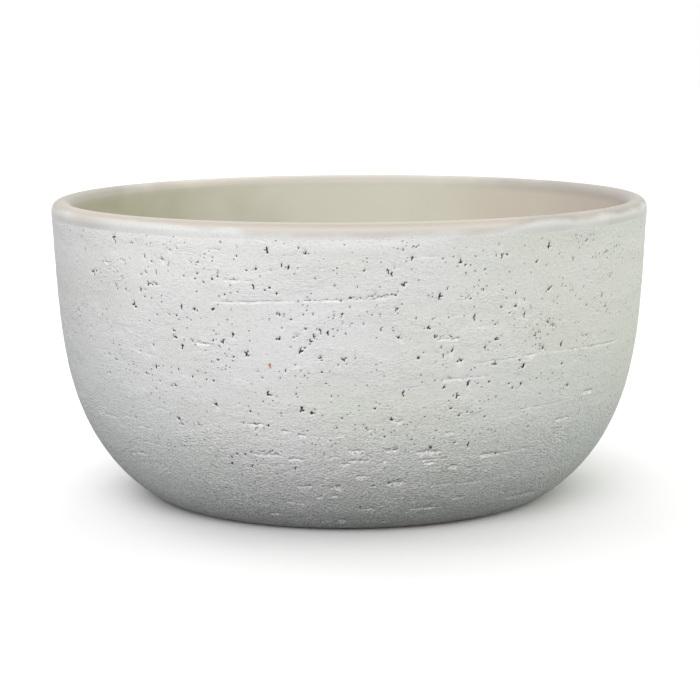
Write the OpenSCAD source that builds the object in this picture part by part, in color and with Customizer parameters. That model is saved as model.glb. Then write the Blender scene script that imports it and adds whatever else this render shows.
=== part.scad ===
// Round bowl planter, turned in fired clay.
// A rough cement coat covers the outside and a smooth glaze covers the inside and the lip.
// The bowl stands on a foot ring with felt pads under it.
// Z is the turning axis, and the pads stand on Z = 0. All lengths are in millimetres.

/* [Bowl] */
// Diameter over the rim
rim_d = 310; // [280:1:380]
// Height from the ground to the crown of the lip
bowl_h = 155; // [110:1:220]
// Diameter of the foot, where the flank starts
foot_d = 209; // [150:1:220]
// Thickness of the wall at the lip, with its coat and its glaze
wall_t = 10.5; // [8:0.5:14]
// Outward lean of the wall below the lip, in degrees
wall_lean = 2.6; // [0.5:0.1:6]

/* [Outside curve] */
// Swell of the flank out of the foot: 1 is sharp, 2 is round
foot_swell = 1.2; // [1.1:0.1:2]
// Tightness of the flank's turn up into the wall: 2 is slack, 6 is tight
wall_turn = 4; // [2.5:0.1:6]

/* [Inside curve] */
// Thickness of the floor above the hollow under the bowl
floor_t = 10; // [7:0.5:20]
// Distance from the edge of the foot in to the edge of the flat floor inside
heel_w = 29.5; // [20:0.5:50]
// Swell of the inside out of the flat floor: 1 is sharp, 2 is round
well_swell = 1.8; // [1.4:0.1:2.4]
// Tightness of the inside's turn up into the wall: 2 is slack, 6 is tight
well_turn = 3.9; // [3:0.1:5]

/* [Coat and glaze] */
// Thickness of the cement coat
coat_t = 1.2; // [0.8:0.1:2.5]
// Thickness of the glaze
glaze_t = 0.6; // [0.3:0.1:1]
// How far the glaze runs down the outside, below the rounding of the lip
glaze_drop = 2; // [0.5:0.5:8]

/* [Foot] */
// Width of the ring that the bowl stands on
ring_w = 20; // [17:1:40]
// Depth of the hollow inside the ring
hollow_h = 3; // [1:0.5:8]

/* [Pads] */
// Number of felt pads under the ring
pad_count = 4; // [3:1:8]
// Diameter of a pad
pad_d = 16; // [8:1:19]
// Thickness of a pad
pad_t = 1.5; // [0.5:0.5:5]
// Angle of the first pad, in degrees
pad_start = 45; // [0:1:90]

/* [Hidden] */
$fn = 120;

clay_color = [0.70, 0.44, 0.32];
coat_color = [0.85, 0.86, 0.84];
glaze_color = [0.80, 0.77, 0.69];
felt_color = [0.36, 0.35, 0.33];

// Points along each stretch of the outline
flank_steps = 36;
band_steps = 2;
lip_steps = 18;

foot_r = foot_d / 2;
well_r = foot_r - heel_w;
lip_r = wall_t / 2;
lip_centre = [rim_d / 2 - lip_r, bowl_h - lip_r];

// The lip is half a turn, from the outer wall's lean over the crown to the inner wall's
lip_out = lip_centre + lip_r * [cos(wall_lean), -sin(wall_lean)];
lip_in = lip_centre - lip_r * [cos(wall_lean), -sin(wall_lean)];

foot_edge = [foot_r, pad_t];
hollow_z = pad_t + hollow_h;
well_edge = [well_r, hollow_z + floor_t];

// Part of the outer flank that the coat covers, as the square root of its share of the height
coat_end = sqrt(1 - glaze_drop / (lip_out[1] - foot_edge[1]));

// One point of a flank that starts level at low, turns up and reaches high with the wall's lean.
// s runs from 0 to 1, and its square is the share of the flank's height.
function flank_point(low, high, swell, turn, s) =
    let (rise = high[1] - low[1],
         lean = rise * tan(wall_lean),
         up = s * s,
         out = pow(1 - pow(1 - up, turn), 1 / swell))
    low + [(high[0] - low[0] - lean) * out + lean * up, rise * up];

function outer_point(s) = flank_point(foot_edge, lip_out, foot_swell, wall_turn, s);
function inner_point(s) = flank_point(well_edge, lip_in, well_swell, well_turn, s);
function lip_point(a) = lip_centre + lip_r * [cos(a), sin(a)];

// Where the lip's points lie: at both ends of the half turn and evenly between, the crown included
lip_angles = concat([-wall_lean],
                    [for (i = [0:lip_steps - 1]) 180 * i / lip_steps],
                    [180 - wall_lean]);

// The bowl's surface in half section, from the foot up the outside, over the lip and down inside
surface = concat(
    [for (i = [0:flank_steps]) outer_point(coat_end * i / flank_steps)],
    [for (i = [1:band_steps - 1]) outer_point(coat_end + (1 - coat_end) * i / band_steps)],
    [for (a = lip_angles) lip_point(a)],
    [for (i = [flank_steps - 1:-1:0]) inner_point(i / flank_steps)]);
surface_end = len(surface) - 1;

// Direction out of the surface at one of its points; the flanks start level at foot and floor
function out_of(i) =
    i == 0 ? [0, -1] :
    i == surface_end ? [0, 1] :
    let (along = surface[i + 1] - surface[i - 1])
    [along[1], -along[0]] / norm(along);

// A stretch of the surface, t below it
function below(first, last, t) = [for (i = [first:last]) surface[i] - t * out_of(i)];

function reversed(points) = [for (i = [len(points) - 1:-1:0]) points[i]];

// Where the floor meets the turning axis, t below the surface
function floor_centre(t) = [0, well_edge[1] - t];

module clay_body() {
    color(clay_color)
        rotate_extrude()
            polygon(concat(
                below(0, flank_steps, coat_t),
                below(flank_steps, surface_end, glaze_t),
                [floor_centre(glaze_t),
                 [0, hollow_z],
                 [foot_r - ring_w - hollow_h, hollow_z],
                 [foot_r - ring_w, pad_t],
                 foot_edge]));
}

module cement_coat() {
    color(coat_color)
        rotate_extrude()
            polygon(concat(
                below(0, flank_steps, 0),
                reversed(below(0, flank_steps, coat_t))));
}

module glaze_lining() {
    color(glaze_color)
        rotate_extrude()
            polygon(concat(
                below(flank_steps, surface_end, 0),
                [floor_centre(0), floor_centre(glaze_t)],
                reversed(below(flank_steps, surface_end, glaze_t))));
}

// Pads stand on the middle of the ring, evenly round it
module floor_pad(i) {
    color(felt_color)
        rotate(pad_start + 360 * (i - 1) / pad_count)
            translate([foot_r - ring_w / 2, 0])
                cylinder(d = pad_d, h = pad_t);
}

clay_body();
cement_coat();
glaze_lining();
for (i = [1:pad_count])
    floor_pad(i);
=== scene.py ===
# %% [markdown]
# # A round bowl planter
# This lesson dresses a bowl planter about 31 cm across. The real one is a single vessel of fired
# clay. Its outside has a coat of pale grey cement-like slip that was scraped in rings while it was
# wet, so it is full of scratches, torn ridges and small pits. Its inside and its round lip have a
# smooth cream glaze, and it stands on four felt pads.
#
# The CAD model already holds every piece at its real size. We load it first, because everything
# here has to sit exactly on it.

# %% Load the frame
import math
import random
from bisect import bisect_left
from functools import reduce

import bmesh
import bpy
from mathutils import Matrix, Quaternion, Vector, noise
from mathutils.bvhtree import BVHTree


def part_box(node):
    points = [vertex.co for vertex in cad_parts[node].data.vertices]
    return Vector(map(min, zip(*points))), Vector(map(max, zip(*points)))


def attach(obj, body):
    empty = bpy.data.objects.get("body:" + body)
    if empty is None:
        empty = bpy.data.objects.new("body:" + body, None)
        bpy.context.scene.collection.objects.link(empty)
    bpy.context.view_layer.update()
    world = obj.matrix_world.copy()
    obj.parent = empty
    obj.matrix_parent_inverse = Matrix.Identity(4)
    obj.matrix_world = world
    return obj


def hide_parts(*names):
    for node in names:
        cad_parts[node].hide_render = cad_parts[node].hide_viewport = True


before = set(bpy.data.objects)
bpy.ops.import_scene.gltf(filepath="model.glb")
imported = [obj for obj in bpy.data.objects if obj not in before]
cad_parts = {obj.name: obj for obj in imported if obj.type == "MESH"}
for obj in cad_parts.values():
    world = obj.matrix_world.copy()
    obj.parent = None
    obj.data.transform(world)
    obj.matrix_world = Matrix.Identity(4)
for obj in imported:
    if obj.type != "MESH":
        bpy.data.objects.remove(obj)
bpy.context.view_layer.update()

print("CAD nodes:", ", ".join(sorted(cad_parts)))

# %% [markdown]
# ## Measuring the frame
# Lengths below are in millimetres, because a potter thinks in them, and turn into metres only when
# a mesh is made. The sizes are read off the CAD pieces: the lowest ring of the coat gives the foot,
# the widest ring of the glaze gives the lip, and so on.

# %% Sizes from the frame
MM = 0.001
SAME = 0.05


def rings(node):
    """Radius and height in millimetres of every vertex of a CAD piece."""
    return [(math.hypot(v.co.x, v.co.y) / MM, v.co.z / MM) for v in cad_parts[node].data.vertices]


coat_rings = rings("cement_coat")
glaze_rings = rings("glaze_lining")
body_rings = rings("clay_body")

pad_t = min(z for r, z in coat_rings)
foot_r = max(r for r, z in coat_rings if z < pad_t + SAME)
coat_t = max(z for r, z in coat_rings if abs(r - foot_r) < SAME) - pad_t
coat_edge_r, coat_top = max(coat_rings)
rim_r = max(r for r, z in glaze_rings)
rim_h = max(z for r, z in glaze_rings)
lip_r = rim_h - next(z for r, z in glaze_rings if r > rim_r - SAME / 10)
glaze_t = rim_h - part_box("clay_body")[1].z / MM
floor_z = min(z for r, z in glaze_rings) + glaze_t
well_r = max(r for r, z in glaze_rings if abs(z - floor_z) < SAME)
hollow_r = min(r for r, z in body_rings if abs(z - pad_t) < SAME)
hollow_z = min(z for r, z in body_rings if r < hollow_r - SAME)
roof_r = max(r for r, z in body_rings if abs(z - hollow_z) < SAME and r < hollow_r)
print(f"foot {foot_r:.2f}, rim {rim_r:.2f} x {rim_h:.2f}, lip radius {lip_r:.2f}, pads {pad_t:.2f}")
print(f"coat {coat_t:.2f} thick up to {coat_top:.2f}, glaze {glaze_t:.2f}, floor at {floor_z:.2f}")
print(f"hollow under the foot: from {hollow_r:.2f} in to {roof_r:.2f}, roof at {hollow_z:.2f}")

# %% [markdown]
# ## The outline of the bowl
# Pottery of this kind is turned, so one half section describes it all. The flank is a
# superellipse: it starts level at the foot, swells out and turns up into a wall that leans out a
# little. These five numbers are the design's own, and the lengths come from the frame.

# %% The half section as a formula
FOOT_SWELL = 1.2
WALL_TURN = 4.0
WELL_SWELL = 1.8
WELL_TURN = 3.9
WALL_LEAN = math.radians(2.6)

lip_centre = (rim_r - lip_r, rim_h - lip_r)


def lip_point(angle, radius):
    """A point round the lip's middle: 0 is its outermost, a quarter turn is the crown."""
    return lip_centre[0] + radius * math.cos(angle), lip_centre[1] + radius * math.sin(angle)


def flank_point(low, high, swell, turn, s):
    """A point of a flank: s runs from 0 at low to 1 at high, and its square is the height."""
    rise = high[1] - low[1]
    lean = rise * math.tan(WALL_LEAN)
    up = s * s
    out = (1 - (1 - up) ** turn) ** (1 / swell)
    return low[0] + (high[0] - low[0] - lean) * out + lean * up, low[1] + rise * up


def outer_flank(s):
    return flank_point((foot_r, pad_t), lip_point(-WALL_LEAN, lip_r), FOOT_SWELL, WALL_TURN, s)


def inner_flank(s):
    return flank_point((well_r, floor_z), lip_point(math.pi - WALL_LEAN, lip_r),
                       WELL_SWELL, WELL_TURN, s)


# %% [markdown]
# A formula gives points, but scratches and rows of faces need even distances *along* the surface.
# The small class below measures a line of points, so that we can ask for the point 40 mm up the
# flank, or for the direction that faces out of the clay there.

# %% Walking along a line of points
class Outline:
    """A half section that can be walked by its length, in millimetres."""

    def __init__(self, points):
        self.points = points
        self.along = [0.0]
        for a, b in zip(points, points[1:]):
            self.along.append(self.along[-1] + math.dist(a, b))
        self.length = self.along[-1]

    def at(self, s):
        """Radius and height, s millimetres from the start."""
        i = min(max(bisect_left(self.along, s), 1), len(self.points) - 1)
        t = (s - self.along[i - 1]) / (self.along[i] - self.along[i - 1])
        (r0, z0), (r1, z1) = self.points[i - 1], self.points[i]
        return r0 + (r1 - r0) * t, z0 + (z1 - z0) * t

    def offset(self, s, distance):
        """Radius and height of the point that lies this far out of the surface."""
        step = 0.4
        (r0, z0), (r1, z1) = self.at(max(s - step, 0)), self.at(min(s + step, self.length))
        size = math.hypot(r1 - r0, z1 - z0)
        r, z = self.at(s)
        return r + (z1 - z0) / size * distance, z - (r1 - r0) / size * distance

    def place_of_height(self, z):
        """How far along a height is, on a line that only climbs."""
        heights = [point[1] for point in self.points]
        i = min(max(bisect_left(heights, z), 1), len(heights) - 1)
        t = (z - heights[i - 1]) / (heights[i] - heights[i - 1])
        return self.along[i - 1] + (self.along[i] - self.along[i - 1]) * min(max(t, 0), 1)


def even_places(start, end, step):
    """Places from start to end, both of them too, about a step apart."""
    count = max(1, round((end - start) / step))
    return [start + (end - start) * i / count for i in range(count + 1)]


FINE = 500
whole_flank = Outline([outer_flank(i / FINE) for i in range(FINE + 1)])
coat_line = Outline([p for p in whole_flank.points if p[1] < coat_top - SAME]
                    + [(coat_edge_r, coat_top)])
print(f"the coat runs {coat_line.length:.1f} mm up the flank")

# %% [markdown]
# ## The camera of the photograph
# The camera comes before the surface, because the biggest pits and scratches go where the
# photograph shows them. Fitting the outline of the bowl gave a camera 1.1 m away, about 25 cm above
# the ground, with a long lens and a slight tilt to one side. Pixel places are in a frame of
# 700 x 700.

# %% Camera
FRAME_PX = 700
FOCAL_PX = 2123
SENSOR_MM = 36
CAMERA_AT = Vector((-0.0051, -1.1129, 0.2469))
CAMERA_AIM = Vector((0.0, 0.0, 0.0729))
CAMERA_ROLL = math.radians(-0.35)

camera = bpy.data.objects.new("camera", bpy.data.cameras.new("camera"))
camera.data.sensor_width = SENSOR_MM
camera.data.lens = FOCAL_PX / FRAME_PX * SENSOR_MM
camera.location = CAMERA_AT
camera.rotation_mode = "QUATERNION"
camera.rotation_quaternion = ((CAMERA_AIM - CAMERA_AT).to_track_quat("-Z", "Y")
                              @ Quaternion((0, 0, 1), CAMERA_ROLL))
bpy.context.collection.objects.link(camera)
bpy.context.scene.camera = camera
print(f"lens {camera.data.lens:.1f} mm")

# %% [markdown]
# ## Turning a half section
# A potter's wheel is `bmesh.ops.spin`: a row of vertices goes once round the axis and leaves quads
# behind it. `use_merge` welds the last column to the first, so there is no seam. Each vertex of the
# row carries its place along the line in a layer called "walk". The spin copies it, and every later
# cut averages it, so any vertex can say at any time where on the half section it lies.
#
# A coat and a glaze are layers with two sides. One row goes up the front and comes back down the
# hidden side, so a single turn makes a closed shell. On the hidden side the walk is negative.

# %% The wheel
def new_skin():
    """A bmesh whose vertices know their place along the half section."""
    bm = bmesh.new()
    bm.verts.layers.float.new("walk")
    return bm


def point_row(bm, line, places, out=0.0):
    """Vertices at these places of a line, moved out of it by a distance."""
    walk = bm.verts.layers.float["walk"]
    row = []
    for s in places:
        r, z = line.offset(s, out)
        row.append(bm.verts.new((r * MM, 0, z * MM)))
        row[-1][walk] = s if out == 0 else -1 - s
    return row


def turn_row(bm, row, columns, closed=False):
    """Turn a row of vertices round the axis into a skin, or a closed row into a ring."""
    ends = row[1:] + row[:1] if closed else row[1:]
    edges = [bm.edges.new(pair) for pair in zip(row, ends)]
    bmesh.ops.spin(bm, geom=row + edges, cent=(0, 0, 0), axis=(0, 0, 1), dvec=(0, 0, 0),
                   angle=math.tau, steps=columns, use_merge=True, use_duplicate=False)


def keep_edge_sharp(bm):
    """Mark the rings where the front of a layer meets its end, so that each is shaded by itself."""
    walk = bm.verts.layers.float["walk"]
    for e in bm.edges:
        sides = {v[walk] >= 0 for f in e.link_faces for v in f.verts}
        fronts = [v[walk] >= 0 for v in e.verts]
        e.smooth = not (len(sides) == 2 and fronts[0] == fronts[1])


def round_off(bm, edges, radius):
    """Round edges off with a radius in millimetres."""
    bmesh.ops.bevel(bm, geom=edges, offset=radius * MM, offset_type="OFFSET", segments=3,
                    profile=0.5, affect="EDGES", material=-1, clamp_overlap=True)


def finish_mesh(bm, name):
    """Turn a bmesh into a smooth-shaded object that sits at the origin."""
    bmesh.ops.recalc_face_normals(bm, faces=bm.faces)
    open_edges = sum(1 for e in bm.edges if e.is_boundary)
    mesh = bpy.data.meshes.new(name)
    bm.to_mesh(mesh)
    bm.free()
    mesh.shade_smooth()
    piece = bpy.data.objects.new(name, mesh)
    bpy.context.collection.objects.link(piece)
    triangles = sum(len(p.vertices) - 2 for p in mesh.polygons)
    print(f"{name}: {len(mesh.vertices)} vertices, {triangles} triangles, {open_edges} open edges")
    return piece


# %% [markdown]
# ## The coat, step 1: where the marks are
# Every mark on the coat has a place in two numbers: the angle round the axis and the distance up
# the flank. To put a mark where the photograph has it, we look along the camera's ray through that
# pixel and see where it meets a smooth bowl. A BVH tree answers such questions quickly.

# %% From a pixel to a place on the coat
LOOK_STEP = 2
LOOK_COLUMNS = 240

smooth_bowl = new_skin()
look_places = even_places(0, coat_line.length, LOOK_STEP)
turn_row(smooth_bowl, point_row(smooth_bowl, coat_line, look_places), LOOK_COLUMNS)
bowl_tree = BVHTree.FromBMesh(smooth_bowl)
smooth_bowl.free()


def place_of_pixel(px, py):
    """Angle in radians and distance up the flank in millimetres of what a pixel shows."""
    ray = Vector((px - FRAME_PX / 2, FRAME_PX / 2 - py, -FOCAL_PX))
    hit = bowl_tree.ray_cast(CAMERA_AT, (camera.rotation_quaternion @ ray).normalized())[0]
    return math.atan2(hit.y, hit.x), coat_line.place_of_height(hit.z / MM)


print("the middle of the photograph is at", place_of_pixel(FRAME_PX / 2, FRAME_PX / 2))

# %% [markdown]
# Pits are left where grains of grog were torn out of the wet slip. Four shapes cover what the
# photograph shows: round dots, upright slits, hooks and forks. Each is one to four short strokes.
# The lists hold the places of the pits that the photograph shows, by shape and by size. In one place,
# at CHIP_PX, the coat has chipped down to the orange clay.

# %% Large pits that the photograph shows
LARGE_PX = {
    "dot": [(216.5, 276), (250, 412), (305, 329), (236.5, 454), (345, 521), (349, 521), (389, 484.5),
            (485.6, 269), (495.7, 340)],
    "slit": [(475.4, 318), (562, 345), (181, 307.5), (181, 347), (469, 445.5),
             (525, 316), (574, 259.5), (346.3, 237.5), (404, 394.5), (328.5, 334), (321, 332.5),
             (64.3, 301), (253.3, 287), (467.9, 384)],
    "hook": [(267, 395.5), (462, 263), (404, 286.5), (222.7, 343.5), (343.9, 361.3), (494.9, 365),
             (523.9, 368), (549, 246.6), (93, 272.5)],
    "fork": [(112.4, 234.8), (113.4, 237.6), (539.3, 234), (542, 236.5), (134, 304.5),
             (246.4, 354.5), (301, 410.5), (267, 250.5), (300, 351.5), (439.7, 297),
             (457, 396.7)]}
print(sum(len(places) for places in LARGE_PX.values()), "large pits")

# %% Middling pits that the photograph shows
MIDDLING_PX = {
    "dot": [(195, 239.5), (150.6, 261.5), (197, 262.5), (235.7, 256.5), (202.5, 282),
            (245.5, 270.5), (264, 290.3), (269, 288), (276, 294), (224, 295), (156, 314.7),
            (290.6, 319.7), (217.6, 361), (233, 357.6), (321.7, 372.4), (325.8, 384), (145.6, 373.5),
            (159.3, 381), (268, 425.8), (309, 486.4), (443, 258.5), (560.4, 253.5), (495.6, 324.5),
            (597.7, 311), (501.6, 307), (509.4, 384), (489.5, 382), (467.3, 412.4), (454.3, 443.3),
            (411.7, 440), (436, 431), (373.3, 486.4), (375, 409), (451, 409), (485, 417), (528, 427),
            (496, 454), (72, 214)],
    "slit": [(144.5, 257), (145.4, 272.5), (155.6, 272.5), (77.6, 264), (115, 285.5), (140, 290),
             (154.7, 284.5), (147.5, 284), (285, 371), (516, 292.7), (521.3, 384.7), (588.6, 375),
             (295.2, 469), (251.8, 467), (232.3, 464.5), (341.5, 315.6), (381.7, 330), (443.5, 357),
             (502.4, 256.5), (281, 265.5), (288, 268), (388, 272), (392, 275)],
    "hook": [(161.3, 260), (172.8, 331), (173.2, 337.4), (194, 310), (212.3, 310.4), (78.5, 311),
             (279.5, 340), (313.4, 337), (310.6, 342.4), (320.8, 358.5), (174, 386), (215.4, 405.3),
             (178.4, 420), (181.7, 425.3), (287, 243.5), (305.4, 254.6), (254.7, 269.4), (412.3, 259),
             (507, 255), (607, 252.4), (586.5, 241), (538.4, 262.3), (549.7, 290), (517, 306),
             (602, 295.5), (605.5, 306.3), (553.3, 326.5), (547.5, 322.5), (536.4, 336), (544, 348.5),
             (419.8, 359), (453, 351.4), (428, 329), (434.7, 337.8), (399, 338.6), (397, 310),
             (567.4, 386), (445.5, 388.3), (461, 361.5), (486, 348.5), (311.4, 414.6), (431.5, 449),
             (460, 416.5), (391, 421), (497, 340)],
    "fork": [(155.2, 367.4), (232, 335.4), (93.5, 273.5)]}
print(sum(len(places) for places in MIDDLING_PX.values()), "middling pits")

# %% Small pits that the photograph shows
SMALL_PX = [
    (131, 238), (211, 241), (217, 242), (131, 243), (163, 245), (184, 243), (176, 248), (169, 250),
    (168, 263), (190, 263), (66, 228), (70, 231), (75, 224), (93, 226), (115, 242),
    (274, 245), (299, 248), (335, 242), (345, 245), (77, 257), (75, 270), (122, 260), (129, 259),
    (79, 280), (141, 275), (217, 271), (211, 280), (197, 274), (195, 279), (183, 276), (270, 271),
    (117, 289), (125, 290), (129, 292), (145, 290), (150, 284), (152, 285), (144, 297), (151, 298),
    (225, 280), (233, 279), (237, 292), (196, 292), (68, 304), (169, 315), (176, 316), (190, 320),
    (200, 319), (149, 321), (276, 315), (279, 315), (284, 316), (303, 315), (307, 311), (313, 315),
    (334, 316), (91, 326), (91, 337), (75, 333), (213, 331), (192, 341), (213, 341), (153, 345),
    (140, 352), (109, 354), (116, 360), (205, 351), (211, 362), (226, 357), (338, 365), (295, 365),
    (258, 372), (262, 378), (305, 377), (156, 389), (130, 383), (110, 374), (87, 368), (192, 377),
    (206, 380), (213, 382), (178, 370), (82, 391), (263, 402), (239, 404), (281, 414), (332, 397),
    (296, 395), (342, 419), (198, 424), (243, 424), (254, 425), (524, 228), (567, 230), (582, 237),
    (594, 240), (619, 237), (414, 247), (404, 251), (499, 244), (497, 256), (596, 258), (617, 247),
    (510, 272), (547, 266), (395, 268), (448, 289), (484, 290), (525, 300), (565, 287), (584, 287),
    (610, 277), (510, 313), (587, 305), (435, 319), (417, 319), (425, 329), (441, 348), (424, 353),
    (592, 346), (608, 348), (436, 362), (521, 361), (575, 358), (562, 365), (478, 384), (513, 389),
    (540, 394), (564, 389), (257, 429), (342, 419), (337, 429), (366, 429), (231, 458), (245, 455),
    (385, 438), (451, 438), (226, 489), (360, 508), (352, 475), (432, 462), (428, 475), (321, 522),
    (382, 522), (441, 515), (364, 271), (358, 287), (335, 287), (368, 297), (343, 323), (352, 324),
    (364, 324), (352, 253), (282, 328), (262, 320), (288, 268), (96, 271), (81, 261)]
CHIP_PX = (270, 367)
print(len(SMALL_PX), "small pits")

# %% [markdown]
# A mark is a small dictionary: its place, its strokes in millimetres round that place, how wide
# and how deep it is. The same maker draws the pits from the photograph and the scattered ones, so
# that the back of the bowl looks like its front.

# %% How a pit is drawn
# Ranges to draw from: how much the size varies, and the width and depth in millimetres
PIT_VARIES = (0.85, 1.15)
PIT_WIDTH = (0.37, 0.46)
PIT_DEPTH = (0.85, 1.1)
DOT_WIDER = 1.4

dice = random.Random(11)


def stroke(lean, length, start=(0.0, 0.0)):
    """A straight stroke that leans from upright by an angle, as its two ends."""
    return start, (start[0] + math.sin(lean) * length, start[1] + math.cos(lean) * length)


def pit_strokes(kind, size):
    """The strokes of a pit, in millimetres round its place."""
    tilt, turn = dice.uniform(-0.5, 0.5), dice.choice((1, -1)) * dice.uniform(0.9, 1.5)
    if kind == "dot":
        return [stroke(dice.uniform(0, math.pi), 0.35 * size)]
    if kind == "slit":
        return [stroke(tilt, 1.5 * size, (0, -0.9 * size)),
                stroke(tilt + 0.5 * turn, 0.8 * size, (0.3 * size * tilt, 0.5 * size))]
    bits = [stroke(tilt, 1.5 * size), stroke(tilt + turn, 1.3 * size)]
    if kind == "fork":
        bits.append(stroke(tilt + math.pi, 1.0 * size))
    start = (dice.uniform(-2.0, 2.0) * size, dice.uniform(-1.6, 1.6) * size)
    return bits + [stroke(dice.uniform(-1.2, 1.2), dice.uniform(0.1, 0.6) * size, start)]


def pit(kind, place, size):
    """A pit at a place. Size 1 is about 2 mm long. Small pits are shallow and get less painted shade."""
    strokes = pit_strokes(kind, size * dice.uniform(*PIT_VARIES))
    width = dice.uniform(*PIT_WIDTH) * (DOT_WIDER if kind == "dot" else 1) * size ** 0.3
    return {"place": place, "strokes": strokes, "width": width, "dark": min(1.0, 0.6 + 0.5 * size),
            "depth": dice.uniform(*PIT_DEPTH) * min(1.0, size + 0.1),
            "reach": width + max(math.hypot(*end) for ends in strokes for end in ends)}


LARGE, MIDDLING, SMALL = 1.12, 0.8, 0.5
SMALL_KINDS = ("dot", "dot", "slit", "hook")
pits = [pit(kind, place_of_pixel(x, y), size)
        for size, shown in ((LARGE, LARGE_PX), (MIDDLING, MIDDLING_PX))
        for kind, places in shown.items() for x, y in places]
pits += [pit(dice.choice(SMALL_KINDS), place_of_pixel(x, y), SMALL) for x, y in SMALL_PX]
chip = pit("slit", place_of_pixel(*CHIP_PX), 1.0)
print(len(pits), "pits from the photograph")

# %% [markdown]
# Grog isn't spread evenly: it lies in loose clusters, and fewer grains tear out near the foot. The
# part of the bowl that the photograph shows has its own pits already, so the others are scattered
# over the rest of the wall only, in the same mixture of sizes and shapes.

# %% Scattered pits
CLUSTERS = 162
CLUSTER_SPREAD = 7.0
CLUSTER_PITS = (1, 6)
TOWARDS_LIP = 0.8
FRONT = -math.pi / 2
SEEN_HALF_ANGLE = math.radians(72)
EDGE_MARGIN = 4.0
KINDS = ("dot", "dot", "dot", "slit", "slit", "hook", "hook", "fork")
SIZES = (SMALL, SMALL, SMALL, SMALL, MIDDLING, MIDDLING, LARGE)


def turn_between(a, b):
    """The shorter way round from b to a, in radians."""
    return (a - b + math.pi) % math.tau - math.pi


def scattered_place():
    """A place anywhere on the coat, less often near the foot."""
    height = dice.uniform(0, 1) ** TOWARDS_LIP
    return dice.uniform(-math.pi, math.pi), EDGE_MARGIN + height * (coat_line.length - 2 * EDGE_MARGIN)


for _ in range(CLUSTERS):
    angle, s = scattered_place()
    radius = coat_line.at(s)[0]
    for _ in range(dice.randint(*CLUSTER_PITS)):
        place = (angle + dice.gauss(0, CLUSTER_SPREAD) / radius, s + dice.gauss(0, CLUSTER_SPREAD))
        inside = EDGE_MARGIN < place[1] < coat_line.length - EDGE_MARGIN
        seen = abs(turn_between(place[0], FRONT)) < SEEN_HALF_ANGLE
        if inside and not seen:
            pits.append(pit(dice.choice(KINDS), place, dice.choice(SIZES)))
print(len(pits), "pits in all")

# %% [markdown]
# In some places the pits run together into a ragged crack along the turn. A crack is a row of
# small pits that lie on their side, with gaps between them.

# %% Cracks
# Both ends in pixels, and the share of the way that is open
CRACKS_PX = [
    ((342, 299.3), (397, 294.8), 0.85), ((301, 300.4), (342, 299.4), 0.35),
    ((456, 296.3), (471, 298.5), 0.6), ((437, 337), (461, 337.5), 0.7),
    ((147, 283), (157, 283), 0.7), ((385, 449.2), (397, 449.8), 0.8),
    ((246, 452), (279, 452.6), 0.35), ((269, 513), (279, 515), 0.6),
    ((381, 511.5), (393, 511.5), 0.7), ((290, 338), (299, 337), 0.6),
    ((581, 335.3), (588, 335.5), 0.8), ((387, 481), (405, 480.3), 0.6),
    ((331, 485.6), (340, 485.6), 0.8), ((415, 246.6), (419, 246.8), 0.8)]
CRACK_STEP = 1.1
CRACK_WANDER = 0.3
CRACK_JITTER = (0.2, 0.8)
BEAD_LEAN = (0.9, 2.2)
BEAD_LENGTH = (0.4, 1.1)
BEAD_WIDTH = (0.26, 0.40)


def crack(start, end, share):
    """Small pits on their side in a ragged row from one place to another."""
    middle_s = (start[1] + end[1]) / 2
    radius = coat_line.at(middle_s)[0]
    turn = turn_between(end[0], start[0])
    count = max(2, round(abs(turn) * radius / CRACK_STEP))
    row = []
    for i in range(count):
        t = (i + dice.uniform(*CRACK_JITTER)) / count
        place = (start[0] + turn * t, start[1] + (end[1] - start[1]) * t + dice.gauss(0, CRACK_WANDER))
        if dice.random() < share:
            bead = pit("dot", place, SMALL)
            bead["strokes"] = [stroke(dice.uniform(*BEAD_LEAN), dice.uniform(*BEAD_LENGTH))]
            bead["width"] = dice.uniform(*BEAD_WIDTH)
            bead["reach"] = bead["width"] + BEAD_LENGTH[1]
            row.append(bead)
    return row


for a, b, share in CRACKS_PX:
    pits += crack(place_of_pixel(*a), place_of_pixel(*b), share)
print(len(pits), "pits with the cracks")

# %% [markdown]
# The wet slip was scraped while the bowl turned, so tears and scratches run round the axis at
# almost one height. A tear is a flake of slip that was dragged away. It is steep and dark along its
# upper edge and runs out gently below, where it catches the light. A scratch is a long thin tear.

# %% Tears that the photograph shows
# Left and right end and the upper and lower edge in pixels
TEARS_PX = [
    (251, 279, 453, 457), (287, 305, 458, 462), (329, 341, 456, 460), (347, 365, 449.5, 454),
    (346, 375, 459.5, 463), (383, 388, 460, 463), (417, 440, 449, 456), (415, 446, 459, 461),
    (424, 438, 462, 464.5), (448, 458, 464, 470), (465, 472, 467.5, 470.5), (386, 406, 480.5, 486.5),
    (330, 345, 486, 491), (296, 315, 485.5, 489), (355, 367, 475, 479), (316, 324, 496, 499.5),
    (331, 337, 495, 498), (287, 294, 501, 504), (296, 305, 503, 505.5), (358, 376, 508, 512),
    (410, 437, 506.5, 510), (452, 464, 496, 500), (270, 281, 513, 516), (338, 345, 517.5, 524),
    (399, 404, 496.5, 499), (298, 307, 434, 438), (391, 404, 420, 424), (367, 376, 428.5, 432),
    (444, 455, 431.5, 435.5), (247, 264, 423, 427), (280, 291, 430, 434), (194, 214, 342.5, 346),
    (206, 219, 248.5, 251), (479, 500, 452, 457.5), (508, 530, 493, 498), (555, 569, 417, 421),
    (385, 398, 450, 452.5), (340, 350, 463, 466.5), (582, 593, 389, 394.5), (224, 240, 279.5, 282.5),
    (104, 114, 261.5, 264), (131, 136, 452, 455), (138, 147, 452, 455), (437, 461, 338, 341)]
print(len(TEARS_PX), "tears")

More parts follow.
